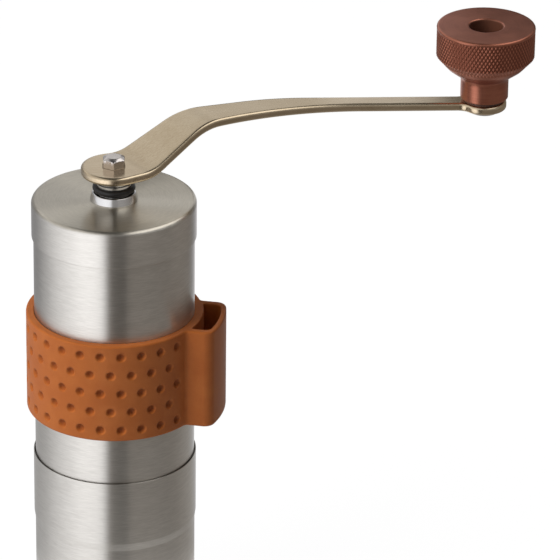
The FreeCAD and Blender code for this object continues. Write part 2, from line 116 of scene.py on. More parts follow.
class Board:
    """A node tree with one way to add any node."""

    def __init__(self, tree):
        self.tree = tree

    def put(self, socket, value):
        if isinstance(value, Value):
            self.tree.links.new(value.socket, socket)
        else:
            socket.default_value = value

    def add(self, kind, settings=None, sockets=None, output=0):
        node = self.tree.nodes.new(kind)
        for key, setting in (settings or {}).items():
            if key == "stops":
                ramp = node.color_ramp.elements
                while len(ramp) < len(setting):
                    ramp.new(1.0)
                for stop, (place, colour) in zip(ramp, setting):
                    stop.position = place
                    stop.color = colour
            else:
                setattr(node, key, setting)
        for key, value in (sockets or {}).items():
            self.put(node.inputs[key], value)
        return Value(self, node.outputs[output])

    def also(self, value, output):
        """Another output of the node that a value came from."""
        return Value(self, value.socket.node.outputs[output])

    def math(self, operation, *values):
        return self.add("ShaderNodeMath", {"operation": operation}, dict(enumerate(values)))

    def vector(self, x, y, z):
        return self.add("ShaderNodeCombineXYZ", None, {0: x, 1: y, 2: z})

    def split(self, vector):
        x = self.add("ShaderNodeSeparateXYZ", None, {0: vector})
        return x, self.also(x, 1), self.also(x, 2)

    def noise(self, vector, scale, detail, roughness):
        return self.add("ShaderNodeTexNoise", None,
                        {"Vector": vector, "Scale": scale, "Detail": detail, "Roughness": roughness})

    def smooth(self, value, low, high, to_low=0.0, to_high=1.0):
        return self.add("ShaderNodeMapRange", {"interpolation_type": "SMOOTHSTEP"},
                        {"Value": value, "From Min": low, "From Max": high,
                         "To Min": to_low, "To Max": to_high})

    def blend(self, factor, first, second):
        """Mix of two colours, whose sockets on the mix node go by number."""
        return self.add("ShaderNodeMix", {"data_type": "RGBA"}, {0: factor, 6: first, 7: second}, 2)

    def place(self):
        return self.add("ShaderNodeTexCoord", output="Object")

    def reach(self, x, y):
        """Distance from the Z axis, never quite nothing, so that it can divide."""
        return self.math("SQRT", x * x + y * y + 1e-9)

    def bump(self, height, strength, distance):
        return self.add("ShaderNodeBump", None,
                        {"Height": height, "Strength": strength, "Distance": distance})


def finish_of(name, constants):
    """New material with one principled shader, its steady values set on the sockets."""
    material = bpy.data.materials.new(name)
    material.use_nodes = True
    board = Board(material.node_tree)
    shader = material.node_tree.nodes["Principled BSDF"]
    for key, value in constants.items():
        shader.inputs[key].default_value = value
    return material, board, shader.inputs


def rgb(red, green, blue):
    """Linear colour from the usual 0 to 255 screen numbers."""
    def linear(level):
        level = level / 255
        return level / 12.92 if level <= 0.04045 else ((level + 0.055) / 1.055) ** 2.4
    return (linear(red), linear(green), linear(blue), 1.0)


def round_grain(board):
    """Fine and broad streaks that run round the Z axis, on walls and on flat tops alike."""
    x, y, z = board.split(board.place())
    radius = board.reach(x, y)
    rise = z + radius * 1.37

    def streaks(around, across, detail, roughness):
        ring = board.vector(x / radius * around, y / radius * around, rise * across)
        return board.noise(ring, 1.0, detail, roughness)

    return streaks(7.0, 4200.0, 3.0, 0.65), streaks(3.0, 900.0, 2.0, 0.5)


def brushed_steel(name, dark, light, rough, grain, tilt, crown=None):
    """Steel brushed in rings; above the crown's height it has a warmer tone."""
    material, board, out = finish_of(name, {
        "Metallic": 1.0, "Anisotropic": 0.9, "Anisotropic Rotation": 0.25})
    fine, broad = round_grain(board)
    streak = fine * 0.75 + broad * 0.25
    mixed = board.smooth(streak, 0.3, 0.7)
    tone = board.blend(mixed, dark, light)
    if crown:
        z = board.split(board.place())[2]
        top = board.blend(mixed, rgb(194, 187, 173), rgb(212, 205, 191))
        tone = board.blend(board.smooth(z, crown - 1.0 * MM, crown - 0.2 * MM), tone, top)
    board.put(out["Base Color"], tone)
    board.put(out["Roughness"], streak * grain + (rough - grain / 2))
    board.put(out["Normal"], board.bump(fine, tilt, 0.02 * MM))
    return material


def arm_steel():
    """Polished plate with a warm plated tone and faint lines along the arm."""
    material, board, out = finish_of("arm_steel", {"Metallic": 1.0})
    x, y, z = board.split(board.place())
    cos, sin = math.cos(crank_angle), math.sin(crank_angle)
    length = x * cos + y * sin
    width = y * cos - x * sin
    lines = board.noise(board.vector(length * 40.0, width * 2200.0, z * 2200.0), 1.0, 3.0, 0.6)
    cloud = board.noise(board.place(), 90.0, 3.0, 0.55)
    tone = lines * 0.5 + cloud * 0.5
    plated = board.blend(board.smooth(tone, 0.3, 0.7), rgb(194, 175, 146), rgb(214, 197, 170))
    board.put(out["Base Color"], plated)
    board.put(out["Roughness"], tone * 0.14 + 0.15)
    board.put(out["Normal"], board.bump(lines, 0.12, 0.01 * MM))
    return material


def bright_steel(name, dark, light, rough):
    """Turned steel with fine rings and a slight cloud in its polish."""
    material, board, out = finish_of(name, {"Metallic": 1.0})
    fine, broad = round_grain(board)
    cloud = board.noise(board.place(), 260.0, 2.0, 0.5)
    board.put(out["Base Color"], board.blend(cloud, dark, light))
    board.put(out["Roughness"], fine * 0.1 + broad * 0.05 + (rough - 0.08))
    board.put(out["Normal"], board.bump(fine, 0.1, 0.01 * MM))
    return material


def knob_anodised():
    """Brown anodised aluminium with turning rings round the knob's own axis."""
    material, board, out = finish_of("knob_anodised", {
        "Anisotropic": 0.25, "Anisotropic Rotation": 0.25})
    centre = (-knob_axis.x, -knob_axis.y, 0.0)
    here = board.add("ShaderNodeMapping", None, {"Vector": board.place(), "Location": centre})
    x, y, z = board.split(here)
    radius = board.reach(x, y)
    ring = board.vector(x / radius * 0.8, y / radius * 0.8, (z + radius) * 3200.0)
    rings = board.noise(ring, 1.0, 3.0, 0.6)
    cloud = board.noise(here, 160.0, 3.0, 0.55)
    tone = rings * 0.4 + cloud * 0.6
    brown = board.blend(board.smooth(tone, 0.3, 0.7), rgb(160, 99, 79), rgb(182, 118, 96))
    # The knurl's grooves are painted darker, as painted shade between the diamonds, and the hole's wall is
    # blasted dull.
    top = knob_high.z
    grip_low = top - knob_grip_height
    crest = board.smooth(radius, knob_radius - 0.38 * MM, knob_radius - 0.04 * MM)
    above_grip = board.smooth(z, top - 0.95 * MM, top - 0.7 * MM)
    below_grip = board.smooth(z, grip_low + 0.1 * MM, grip_low - 0.3 * MM)
    unshaded_share = board.math("MINIMUM", crest + above_grip + below_grip, 1.0)
    # Painted shade: outside the crests and the smooth ends the brown blends to a darker brown.
    brown = board.blend(unshaded_share, rgb(118, 68, 53), brown)
    sunk = board.smooth(radius, knob_hole_radius + 0.22 * MM, knob_hole_radius + 0.04 * MM)
    board.put(out["Base Color"], board.blend(sunk, brown, rgb(112, 70, 53)))
    board.put(out["Metallic"], 1 - sunk * 0.6)
    board.put(out["Roughness"], tone * 0.14 + 0.29 + sunk * 0.15)
    board.put(out["Normal"], board.bump(rings, 0.15, 0.012 * MM))
    return material


def band_silicone():
    """Matte tan silicone with a soft mottle, a dusty bloom and a very fine skin."""
    material, board, out = finish_of("band_silicone", {
        "Specular IOR Level": 0.2, "Sheen Weight": 0.05, "Sheen Roughness": 0.5,
        "Sheen Tint": (1.0, 0.8, 0.65, 1.0)})
    here = board.place()
    mottle = board.noise(here, 130.0, 4.0, 0.6)
    skin = board.noise(here, 5200.0, 2.0, 0.5)
    tone = board.smooth(mottle * 0.7 + skin * 0.3, 0.3, 0.7)
    tan = board.blend(tone, rgb(170, 91, 37), rgb(182, 103, 47))
    # The pits are painted darker, as painted shade in the hollows, but not the band's rounded rims.
    x, y, z = board.split(here)
    radius = board.math("SQRT", x * x + y * y)
    outer = -band_low.x
    half = (band_high.z - band_low.z) / 2
    height = board.math("ABSOLUTE", z - (band_high.z + band_low.z) / 2)
    sunk = board.smooth(radius, outer - 0.15 * MM, outer - 0.9 * MM)
    pit_shade = sunk * board.smooth(height, half - 0.9 * MM, half - 1.3 * MM)
    # Painted shade: inside the pits the tan blends half way to a dark brown.
    board.put(out["Base Color"], board.blend(pit_shade * 0.5, tan, rgb(122, 56, 18)))
    board.put(out["Roughness"], mottle * 0.16 + 0.42)
    board.put(out["Normal"], board.bump(skin, 0.18, 0.02 * MM))
    return material


def plain_finish(name, dark, light, rough, size, constants=None):
    """Moulded or fired finish: two close tones, a fine skin and uneven gloss."""
    material, board, out = finish_of(name, constants or {})
    here = board.place()
    cloud = board.noise(here, size * 0.12, 3.0, 0.6)
    skin = board.noise(here, size, 2.0, 0.5)
    mixed = board.smooth(cloud * 0.6 + skin * 0.4, 0.3, 0.7)
    board.put(out["Base Color"], board.blend(mixed, dark, light))
    board.put(out["Roughness"], cloud * 0.2 + (rough - 0.1))
    board.put(out["Normal"], board.bump(skin, 0.2, 0.02 * MM))
    return material


shell_steel = brushed_steel("shell_steel", rgb(194, 190, 183), rgb(212, 208, 201), 0.31, 0.12, 0.3)
lid_steel = brushed_steel("lid_steel", rgb(198, 194, 187), rgb(216, 212, 205), 0.31, 0.12, 0.3, lid_high.z)
crank_plate = arm_steel()
collar_chrome = bright_steel("collar_chrome", rgb(214, 212, 210), rgb(232, 231, 229), 0.14)
shaft_steel = bright_steel("shaft_steel", rgb(196, 188, 184), rgb(216, 210, 206), 0.24)
knob_brown = knob_anodised()
band_tan = band_silicone()
# The washer's dark brown is painted shade, standing in for the shadow line under the knob's neck.
washer_rubber_and_shade = plain_finish("washer_rubber_and_shade", rgb(78, 48, 37), rgb(94, 59, 46), 0.45, 3000.0)
ring_rubber = plain_finish("ring_rubber", rgb(20, 19, 19), rgb(32, 30, 29), 0.42, 3000.0)
burr_ceramic = plain_finish("burr_ceramic", rgb(214, 208, 196), rgb(232, 227, 217), 0.5, 2400.0)
housing_plastic = plain_finish("housing_plastic", rgb(28, 28, 29), rgb(42, 42, 43), 0.5, 1800.0)
bearing_brass = plain_finish("bearing_brass", rgb(190, 152, 84), rgb(210, 174, 104), 0.32, 900.0,
                             {"Metallic": 1.0})


# Mesh making

def rounded(corners, steps=6):
    """Closed outline through (a, b, corner radius) points, with a support point beside each arc."""
    outline = []
    points = [Vector((a, b)) for a, b, _ in corners]
    count = len(points)
    for i, (_, _, radius) in enumerate(corners):
        here = points[i]
        if not radius:
            outline.append(here)
            continue
        back = points[i - 1] - here
        ahead = points[(i + 1) % count] - here
        room_back, room_ahead = back.length, ahead.length
        back.normalize()
        ahead.normalize()
        half = back.angle(ahead) / 2
        reach = radius / math.tan(half)
        centre = here + (back + ahead).normalized() * (radius / math.sin(half))
        first = here + back * reach - centre
        turn = math.pi - 2 * half
        if back.cross(ahead) > 0:
            turn = -turn
        pad = radius * abs(turn) / steps
        if room_back - reach > 4 * pad:
            outline.append(here + back * (reach + pad))
        for k in range(steps + 1):
            angle = turn * k / steps
            cos, sin = math.cos(angle), math.sin(angle)
            outline.append(centre + Vector((first.x * cos - first.y * sin, first.x * sin + first.y * cos)))
        if room_ahead - reach > 4 * pad:
            outline.append(here + ahead * (reach + pad))
    return outline


def turned(corners, axis=(0.0, 0.0), segments=180, steps=6):
    """Closed shell of revolution from (radius, height, corner radius) points."""
    mesh = bmesh.new()
    rings = []
    for radius, height in rounded(corners, steps):
        if radius < 1e-7:
            rings.append([mesh.verts.new((axis[0], axis[1], height))])
            continue
        rings.append([])
        for i in range(segments):
            angle = 2 * math.pi * i / segments
            at = (axis[0] + radius * math.cos(angle), axis[1] + radius * math.sin(angle), height)
            rings[-1].append(mesh.verts.new(at))
    for lower, upper in zip(rings, rings[1:] + rings[:1]):
        join_rings(mesh, lower, upper)
    return mesh


def join_rings(mesh, lower, upper):
    """Faces between two closed rings of points, either of which may be a single point."""
    count = max(len(lower), len(upper))
    if count == 1:
        return
    for i in range(count):
        j = (i + 1) % count
        loop = [lower[i % len(lower)], lower[j % len(lower)], upper[j % len(upper)], upper[i % len(upper)]]
        mesh.faces.new(list(dict.fromkeys(loop)))


def inset(outline, depth):
    """A closed outline moved to its left by a depth, point by point."""
    moved = []
    count = len(outline)
    for i in range(count):
        before = (outline[i] - outline[i - 1]).normalized()
        after = (outline[(i + 1) % count] - outline[i]).normalized()
        along = (before + after).normalized()
        moved.append(outline[i] + Vector((-along.y, along.x)) * depth)
    return moved


def edge_rows(edge, low, high, levels, steps=5):
    """(depth, height) rows up a wall with two rounded edges and a support row inside each."""
    pad = edge / 3
    quarter = [math.pi / 2 * k / steps for k in range(steps + 1)]
    rows = [(edge + pad, low)]
    rows += [(edge * (1 - math.sin(angle)), low + edge * (1 - math.cos(angle))) for angle in quarter]
    rows += [(0.0, low + edge + (high - low - 2 * edge) * k / levels) for k in range(1, levels)]
    rows += [(edge * (1 - math.cos(angle)), high - edge * (1 - math.sin(angle))) for angle in quarter]
    rows.append((edge + pad, high))
    return rows


def plate(loops):
    """Closed plate from (outline, rows) walls: the first is its outside, the rest are holes."""
    mesh = bmesh.new()
    ends = [], []
    for outline, rows in loops:
        rings = []
        for depth, height in rows:
            rings.append([mesh.verts.new((p.x, p.y, height)) for p in inset(outline, depth)])
        for lower, upper in zip(rings, rings[1:]):
            join_rings(mesh, lower, upper)
        ends[0].append(rings[0])
        ends[1].append(rings[-1])
    for side in ends:
        points = [vert for ring in side for vert in ring]
        faces = []
        first = 0
        for ring in side:
            faces.append(list(range(first, first + len(ring))))
            first += len(ring)
        faces[1:] = [list(reversed(hole)) for hole in faces[1:]]
        found = delaunay_2d_cdt([vert.co.xy / MM for vert in points], [], faces, 2, 1e-6)
        for face in found[2]:
            mesh.faces.new([points[found[3][k][0]] for k in face])
    return mesh


def spaced(outline, step):
    """A closed outline with its long runs divided to about one step."""
    points = []
    for here, there in zip(outline, outline[1:] + outline[:1]):
        count = max(1, round((there - here).length / step))
        for k in range(count):
            points.append(here.lerp(there, k / count))
    return points


def hexagon(corner, turn, edge):
    """Corners of a hexagon as (x, y, corner radius), given from its centre to a corner."""
    angles = [math.pi / 3 * k + turn for k in range(6)]
    return [(corner * math.cos(a), corner * math.sin(a), edge) for a in angles]


def arc(centre, radius, start, stop, step):
    """Points on an arc from one angle to another, ends included."""
    count = max(2, math.ceil(abs(stop - start) * radius / step))
    angles = [start + (stop - start) * k / count for k in range(count + 1)]
    return [Vector((centre[0] + radius * math.cos(a), centre[1] + radius * math.sin(a))) for a in angles]


def make_object(name, mesh, material, sharp=30):
    """Object at the origin from a mesh, smooth but for its sharp edges, faces outward."""
    bmesh.ops.recalc_face_normals(mesh, faces=mesh.faces)
    for face in mesh.faces:
        face.smooth = True
    for edge in mesh.edges:
        edge.smooth = edge.calc_face_angle(0.0) < math.radians(sharp)
    data = bpy.data.meshes.new(name)
    mesh.to_mesh(data)
    mesh.free()
    data.materials.append(material)
    made = bpy.data.objects.new(name, data)
    scene.collection.objects.link(made)
    return made


def stand_for(made, body, slot, *nodes):
    """Let a finished piece ride on its body in place of its solids."""
    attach(made, body)
    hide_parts(*nodes)


# Geometry trees

def geometry_tree(name, sizes):
    """Empty geometry tree with one named input for each size."""
    tree = bpy.data.node_groups.new(name, "GeometryNodeTree")
    tree.interface.new_socket("Geometry", in_out="INPUT", socket_type="NodeSocketGeometry")
    for size in sizes:
        tree.interface.new_socket(size, in_out="INPUT", socket_type="NodeSocketFloat")
    tree.interface.new_socket("Geometry", in_out="OUTPUT", socket_type="NodeSocketGeometry")
    board = Board(tree)
    mesh = board.add("NodeGroupInput")
    values = {size: board.also(mesh, size) for size in sizes}
    return board, mesh, values


def close_tree(board, mesh, place, material):
    """Move the points, then realize and give the finish."""
    moved = board.add("GeometryNodeSetPosition", None, {"Geometry": mesh, "Position": place})
    real = board.add("GeometryNodeRealizeInstances", None, {0: moved})
    done = board.add("GeometryNodeSetMaterial", None, {"Geometry": real, "Material": material})
    output = board.tree.nodes.new("NodeGroupOutput")
    board.put(output.inputs[0], done)


def shape_by_tree(made, board, sizes):
    """Run a geometry tree on an object and keep the result as its plain mesh."""
    modifier = made.modifiers.new("shape", "NODES")
    modifier.node_group = board.tree
    for item in board.tree.interface.items_tree:
        if item.in_out == "INPUT" and item.name in sizes:
            modifier[item.identifier] = sizes[item.name]
    depsgraph = bpy.context.evaluated_depsgraph_get()
    shaped = bpy.data.meshes.new_from_object(made.evaluated_get(depsgraph))
    made.modifiers.remove(modifier)
    old = made.data
    name = old.name
    made.data = shaped
    bpy.data.meshes.remove(old)
    shaped.name = name


def dimple_tree():
    """Rows of round pits pressed into the band's outside, every other row half a pitch on."""
    sizes = ["Outside Radius", "Middle Height", "Row Pitch", "Rows", "Start", "Pitch", "Columns",
             "Pit Radius", "Pit Depth"]
    board, mesh, size = geometry_tree("band_dimples", sizes)
    here = board.add("GeometryNodeInputPosition")
    x, y, z = board.split(here)
    radius = board.math("SQRT", x * x + y * y)
    turn = board.math("ARCTAN2", y, x)
    turn = board.math("WRAP", turn, 2 * math.pi, 0.0)
    row_place = (z - size["Middle Height"]) / size["Row Pitch"] + (size["Rows"] - 1) / 2
    row = board.math("ROUND", row_place)
    odd = board.math("FLOORED_MODULO", row, 2.0)
    column_place = (turn - size["Start"]) / size["Pitch"] - odd * 0.5
    column = board.math("ROUND", column_place)
    aside = (column_place - column) * size["Pitch"] * size["Outside Radius"]
    above = (row_place - row) * size["Row Pitch"]
    away = (aside * aside + above * above) / (size["Pit Radius"] * size["Pit Radius"])
    bowl = 0.65
    inside = board.math("MAXIMUM", 1 - away, 0.0) ** bowl

    def between(value, low, high):
        return board.math("GREATER_THAN", value, low) * board.math("LESS_THAN", value, high)

    # Only the round outside is pressed, and only in whole rows and columns.
    skin = 0.02 * MM
    keep = between(radius, size["Outside Radius"] - skin, size["Outside Radius"] + skin)
    keep = keep * between(column, -0.5, size["Columns"] - odd - 0.5)
    keep = keep * between(row, -0.5, size["Rows"] - 0.5)
    share = 1 - inside * keep * size["Pit Depth"] / radius
    close_tree(board, mesh, board.vector(x * share, y * share, z), band_tan)
    return board


def knurl_tree():
    """Crossed spiral grooves that leave small pyramids on the knob's grip."""
    sizes = ["Centre X", "Centre Y", "Grip Radius", "Low", "High", "Ridges", "Diamond Height", "Groove Depth"]
    board, mesh, size = geometry_tree("knob_knurl", sizes)
    here = board.add("GeometryNodeInputPosition")
    x, y, z = board.split(here)
    x = x - size["Centre X"]
    y = y - size["Centre Y"]
    radius = board.math("SQRT", x * x + y * y + 1e-12)
    turn = board.math("ARCTAN2", y, x) * size["Ridges"] / (2 * math.pi)
    climb = z / size["Diamond Height"]
    one = board.math("PINGPONG", turn + climb, 0.5) * 2
    two = board.math("PINGPONG", turn - climb, 0.5) * 2
    ridge = board.math("MINIMUM", one, two)
    # The grooves run out at both ends, and the hole in the top has none.
    low_fade = 0.8 * MM
    high_fade = 0.5 * MM
    rim = size["Grip Radius"]
    ends = board.smooth(z, size["Low"], size["Low"] + low_fade)
    ends = ends * board.smooth(z, size["High"], size["High"] - high_fade)
    outer = board.smooth(radius, rim - 3.6 * MM, rim - 2.6 * MM)
    cut = (1 - ridge) * ends * outer * size["Groove Depth"]
    share = 1 - cut / radius
    place = board.vector(x * share + size["Centre X"], y * share + size["Centre Y"], z)
    close_tree(board, mesh, place, knob_brown)
    return board


# The pieces

def make_cup():
    """Drawn receiving cup with a widened mouth, eased inside its rim."""
    swage_bend = 1.2 * MM
    rim_edge = 0.1 * MM
    rim_width = 0.24 * MM
    ease_depth = 1.4 * MM
    ease_slope = 0.3 * MM
    wall = tube_radius + cup_step
    mouth = cup_high.x
    rim = cup_high.z
    ledge = tube_low.z - flange_thickness
    mesh = turned([
        (0, 0, 0),
        (wall, 0, cup_corner),
        (wall, ledge - swage_run, swage_bend),
        (mouth, ledge, swage_bend),
        (mouth, rim, rim_edge),
        (mouth - rim_width, rim, rim_edge),
        (mouth - rim_width, rim - ease_depth, 0),
        (mouth - sheet, rim - ease_depth - ease_slope, 0),
        (mouth - sheet, ledge, 0),
        (wall - sheet, ledge, 0),
        (wall - sheet, sheet, cup_corner - sheet),
        (0, sheet, 0),
    ])
    stand_for(make_object("cup_shell", mesh, shell_steel), "cup", "steel", "cup")


def make_tube():
    """Straight brushed tube."""
    foot_edge = 0.1 * MM
    rim_edge = 0.16 * MM
    inner = tube_radius - sheet
    mesh = turned([
        (inner, tube_low.z, foot_edge),
        (tube_radius, tube_low.z, foot_edge),
        (tube_radius, tube_high.z, rim_edge),
        (inner, tube_high.z, rim_edge),
    ])
    stand_for(make_object("tube_shell", mesh, shell_steel), "body", "steel", "body_tube")


def make_lid():
    """Drawn cap with a rounded shoulder and a hole for the collar."""
    skirt_edge = 0.3 * MM
    skirt_inner_edge = 0.14 * MM
    inner = lid_radius - sheet
    hole = collar_spigot + slip
    under = lid_high.z - sheet
    mesh = turned([
        (hole, under, 0),
        (inner, under, lid_rounding - sheet),
        (inner, lid_low.z, skirt_inner_edge),
        (lid_radius, lid_low.z, skirt_edge),
        (lid_radius, lid_high.z, lid_rounding),
        (hole, lid_high.z, 0),
    ], steps=8)
    stand_for(make_object("lid_cap", mesh, lid_steel), "lid", "steel", "lid")


def make_collar():
    """Polished collar that tapers up from its foot."""
    bore = 3.95 * MM
    bore_edge = 0.2 * MM
    foot = collar_high.x
    foot_height = 0.3 * MM
    foot_edge = 0.15 * MM
    top = 6.35 * MM
    top_edge = 0.35 * MM
    mesh = turned([
        (bore, collar_low.z, 0),
        (collar_spigot, collar_low.z, 0),
        (collar_spigot, lid_high.z, 0),
        (foot, lid_high.z, 0),
        (foot, lid_high.z + foot_height, foot_edge),
        (top, collar_high.z, top_edge),
        (bore, collar_high.z, bore_edge),
    ], segments=128)
    stand_for(make_object("collar_ring", mesh, collar_chrome), "lid", "collar_chrome", "lid_collar")


def make_hub():
    """Boss that flares to the arm, its groove filled by the rubber ring."""
    bore = 3.68 * MM
    straight = 2.9 * MM
    foot_edge = 0.1 * MM
    flare_edge = 0.2 * MM
    top_edge = 0.05 * MM
    sides = 24
    section = (ring_high.z - ring_low.z) / 2
    radius = ring_high.x - section
    centre = (ring_high.z + ring_low.z) / 2
    groove = section * 0.98
    boss = turned([
        (bore, boss_low.z, 0),
        (radius, boss_low.z, foot_edge),
        (radius, centre - groove, 0),
        (radius - groove, centre, 0),
        (radius, centre + groove, 0),
        (radius, boss_low.z + straight, flare_edge),
        (boss_high.x, boss_high.z, top_edge),
        (bore, boss_high.z, 0),
    ], segments=96)
    stand_for(make_object("hub_ring", boss, collar_chrome), "crank", "collar_chrome", "hub_boss")
    corners = []
    for k in range(sides):
        angle = 2 * math.pi * k / sides
        corners.append((radius + section * math.cos(angle), centre + section * math.sin(angle), 0))
    seal = turned(corners, segments=128)
    stand_for(make_object("hub_seal", seal, ring_rubber), "crank", "o_ring_rubber", "hub_o_ring")


def arm_edge(side, heading_in, heading_out, hub_radius, end_half):
    """Tangent point on the hub disc and bow corner of one long edge of the arm."""
    along_in = Vector((math.cos(heading_in), math.sin(heading_in)))
    along_out = Vector((math.cos(heading_out), math.sin(heading_out)))
    start = Vector((-along_in.y, along_in.x)) * (side * hub_radius)
    finish = Vector((crank_throw, 0)) + Vector((-along_out.y, along_out.x)) * (side * end_half)
    gap = finish - start
    reach = gap.cross(along_out) / along_in.cross(along_out)
    return start, start + along_in * reach


def bow(start, corner, finish, radius, step):
    """Points along a bowed edge: straight, arc, straight, both ends included."""
    back = (start - corner).normalized()
    ahead = (finish - corner).normalized()
    half = back.angle(ahead) / 2
    reach = radius / math.tan(half)
    centre = corner + (back + ahead).normalized() * (radius / math.sin(half))
    first = corner + back * reach - centre
    last = corner + ahead * reach - centre
    begin = math.atan2(first.y, first.x)
    end = math.atan2(last.y, last.x)
    end = begin + (end - begin + math.pi) % (2 * math.pi) - math.pi
    curve = arc(centre, radius, begin, end, step)
    spans = 24
    head = [start.lerp(curve[0], k / spans) for k in range(spans)]
    tail = [curve[-1].lerp(finish, k / spans) for k in range(1, spans + 1)]
    return head + curve + tail


def make_arm():
    """Plate arm: wide hub disc, a joggle up, a tapering bowed strip and the knob's disc."""
    hub = 9.6 * MM
    end = 6.6 * MM
    half = 2.98 * MM
    out = math.radians(-10.35)
    back_heading = math.radians(5.15)
    front_heading = math.radians(20.1)
    back_bow = 70.7 * MM
    front_bow = 91 * MM
    fillet = 4.0 * MM
    socket_corner = 3.672 * MM
    pin_hole = 3.05 * MM
    edge = 0.8 * MM
    socket_edge = 0.12 * MM
    pin_edge = 0.05 * MM
    step = 0.8 * MM
    along = Vector((math.cos(out), math.sin(out)))
    aside = Vector((-along.y, along.x))
    knob = Vector((crank_throw, 0))
    neck = math.sqrt((end + fillet) ** 2 - (half + fillet) ** 2)
    # The strip runs into the knob's disc through a small fillet on each side.
    centres = {side: knob - along * neck + aside * (side * (half + fillet)) for side in (1, -1)}
    back = arm_edge(1, back_heading, out, hub, half)
    front = arm_edge(-1, front_heading, out, hub, half)
    front_foot = knob - along * neck - aside * half
    back_foot = knob - along * neck + aside * half
    outline = bow(*front, front_foot, front_bow, step)
    touch = math.atan2(centres[-1].y - knob.y, centres[-1].x - knob.x)
    outline += arc(centres[-1], fillet, out + math.pi / 2, touch + math.pi, step * 0.5)[1:]
    other = math.atan2(centres[1].y - knob.y, centres[1].x - knob.x)
    outline += arc(knob, end, touch % (2 * math.pi) - 2 * math.pi, other, step * 0.6)[1:]
    outline += arc(centres[1], fillet, other - math.pi, out - math.pi / 2, step * 0.5)[1:]
    outline += list(reversed(bow(*back, back_foot, back_bow, step)))[1:]
    top = math.atan2(back[0].y, back[0].x)
    bottom = math.atan2(front[0].y, front[0].x) + 2 * math.pi
    outline += arc((0, 0), hub, top, bottom, step)[1:-1]
    corners = hexagon(socket_corner, hex_turn, socket_edge)
    socket = list(reversed(spaced(rounded(corners, 3), step)))
    pin = list(reversed(arc(knob, pin_hole, 0, 2 * math.pi, step)[:-1]))
    mesh = plate([
        (outline, edge_rows(edge, 0.0, arm_thickness, levels=3)),
        (socket, edge_rows(socket_edge, 0.0, arm_thickness, levels=2, steps=2)),
        (pin, edge_rows(pin_edge, 0.0, arm_thickness, levels=2, steps=2)),
    ])
    joggle(mesh)
    mesh.transform(Matrix.Rotation(crank_angle, 4, "Z"))
    stand_for(make_object("arm_plate", mesh, crank_plate), "crank", "crank_steel", "crank_arm")


def joggle(mesh):
    """Lift the outer part of a flat arm through two bends, each face on its own radius."""
    heading = math.radians(22.9)
    tilt = math.radians(32.4)
    lower, upper = 11.3 * MM, 18.0 * MM
    start = 3.9 * MM
    half = arm_thickness / 2
    rise = arm_high.z - arm_low.z - arm_thickness
    ramp = (rise - (lower + upper) * (1 - math.cos(tilt))) / math.sin(tilt)
    run = (lower + upper) * math.sin(tilt) + ramp * math.cos(tilt)
    across = Vector((math.cos(heading), math.sin(heading), 0))
    # Cuts close together over each bend, and a few on the ramp between them.
    first_reach = lower * 1.2 * math.sin(tilt)
    last_reach = upper * 1.1 * math.sin(tilt)
    cuts = [start + first_reach * k / 8 for k in range(9)]
    cuts += [start + run - last_reach * k / 14 for k in range(15)]
    cuts += [start + run * k / 20 for k in range(8, 12)]
    for cut in cuts:
        parts = list(mesh.verts) + list(mesh.edges) + list(mesh.faces)
        bmesh.ops.bisect_plane(mesh, geom=parts, dist=1e-7, plane_co=across * cut, plane_no=across)

    def height(along, first, second):
        """Rise of one face at a distance along the bends' heading, from its two bend radii."""
        past = along - start
        left = start + run - along
        if past <= 0:
            return 0.0
        if past < first * math.sin(tilt):
            return first - math.sqrt(first * first - past * past)
        if left <= 0:
            return rise
        if left < second * math.sin(tilt):
            return rise - second + math.sqrt(second * second - left * left)
        return first * (1 - math.cos(tilt)) + (past - first * math.sin(tilt)) * math.tan(tilt)

    for vert in mesh.verts:
        along = vert.co.dot(across)
        share = vert.co.z / arm_thickness
        bottom = height(along, lower + half, upper - half)
        top = height(along, lower - half, upper + half)
        vert.co.z = arm_low.z + bottom + share * (arm_thickness + top - bottom)


def make_shaft():
    """Stepped shaft with a chamfered hexagon end that shows above the arm."""
    stem = 3.70 * MM
    journal = 3.0 * MM
    core = 2.5 * MM
    tail = 2.4 * MM
    tail_edge = 0.4 * MM
    stem_edge = 0.1 * MM
    overrun = 1.0 * MM
    drive_corner = 2.89 * MM
    drive_chamfer = 0.2 * MM
    end_corner = 3.58 * MM
    end_chamfer = 0.7 * MM
    end_root = 0.1 * MM
    end_low = boss_low.z
    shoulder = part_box("thrust_washer")[1].z
    drive_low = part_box("burr_carrier")[0].z + overrun
    drive_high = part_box("burr_carrier")[1].z + overrun
    bar = turned([
        (0, shaft_low.z, 0),
        (tail, shaft_low.z, tail_edge),
        (tail, drive_low, 0),
        (core, drive_low, 0),
        (core, drive_high, 0),
        (journal, drive_high, 0),
        (journal, shoulder, 0),
        (stem, shoulder, stem_edge),
        (stem, end_low, stem_edge),
        (0, end_low, 0),
    ], segments=64)
    end_turn = crank_angle + hex_turn
    add_hexagon(bar, drive_corner, 0.0, drive_low, drive_high, drive_chamfer, drive_chamfer)
    add_hexagon(bar, end_corner, end_turn, end_low - end_root, shaft_high.z, 0.0, end_chamfer)
    stand_for(make_object("shaft_bar", bar, shaft_steel), "shaft", "shaft_steel", "drive_shaft")


